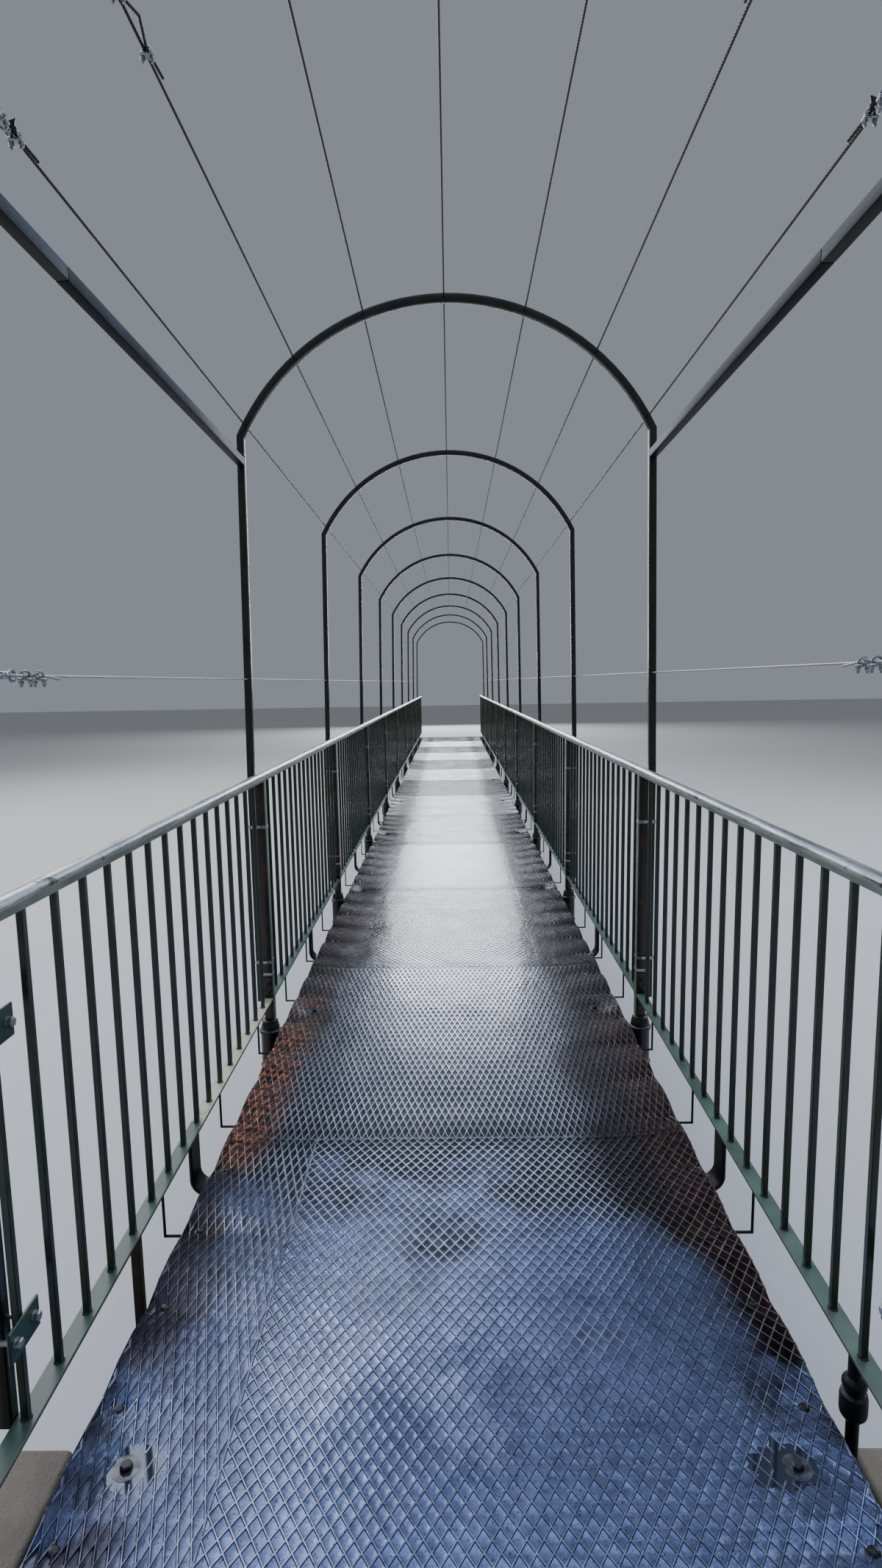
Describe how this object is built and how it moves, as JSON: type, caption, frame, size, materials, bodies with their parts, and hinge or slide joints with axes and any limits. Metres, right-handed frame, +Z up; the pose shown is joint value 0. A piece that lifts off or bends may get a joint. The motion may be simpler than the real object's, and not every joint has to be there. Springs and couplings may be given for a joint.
{
  "type": "footbridge",
  "caption": "Narrow steel footbridge with tread-plate deck, picket railings, arched hoops strung with taut wires, plate girders and concrete abutments.",
  "frame": {"origin": "on the level ground, on the centreline of the bridge, below the feet of the hoop nearest the near end", "axes": "+X across the walkway to the right when walking in from the near end, +Y along the walkway to the far end, +Z up"},
  "size_m": [2.18, 20.73, 4.1],
  "materials": {
    "concrete": "rough cast concrete",
    "frame": "dark weathered paint",
    "tread": "worn wet steel with a raised diamond lattice and rust at the edges",
    "railing": "dark green paint, rusty",
    "handrail": "paint worn to bright steel",
    "hoop": "dark green paint",
    "wire": "dull galvanised"
  },
  "bodies": {
    "root": {"abutment_near": "concrete", "abutment_far": "concrete", "deck_frame": "frame", "deck_plate_01": "tread", "deck_strip_01": "tread", "deck_plate_02": "tread", "deck_plate_03": "tread", "deck_strip_03": "tread", "deck_plate_04": "tread", "deck_strip_04": "tread", "deck_plate_05": "tread", "deck_plate_06": "tread", "deck_plate_07": "tread", "deck_plate_08": "tread", "deck_plate_09": "tread", "deck_plate_10": "tread", "deck_plate_11": "tread", "deck_plate_12": "tread", "deck_plate_13": "tread", "railing_left_1": "railing", "railing_left_2": "railing", "railing_left_3": "railing", "railing_left_4": "railing", "railing_left_5": "railing", "handrail_left": "handrail", "spring_beam_left": "hoop", "railing_right_1": "railing", "railing_right_2": "railing", "railing_right_3": "railing", "railing_right_4": "railing", "railing_right_5": "railing", "handrail_right": "handrail", "spring_beam_right": "hoop", "hoop_01": "hoop", "hoop_02": "hoop", "hoop_03": "hoop", "hoop_04": "hoop", "hoop_05": "hoop", "hoop_06": "hoop", "hoop_07": "hoop", "hoop_08": "hoop", "hoop_09": "hoop", "hoop_10": "hoop", "wire_crown": "wire", "wire_left_1": "wire", "wire_left_2": "wire", "wire_left_3": "wire", "wire_right_1": "wire", "wire_right_2": "wire", "wire_right_3": "wire", "wire_left_low": "wire", "wire_right_low": "wire"}
  },
  "joints": []
}
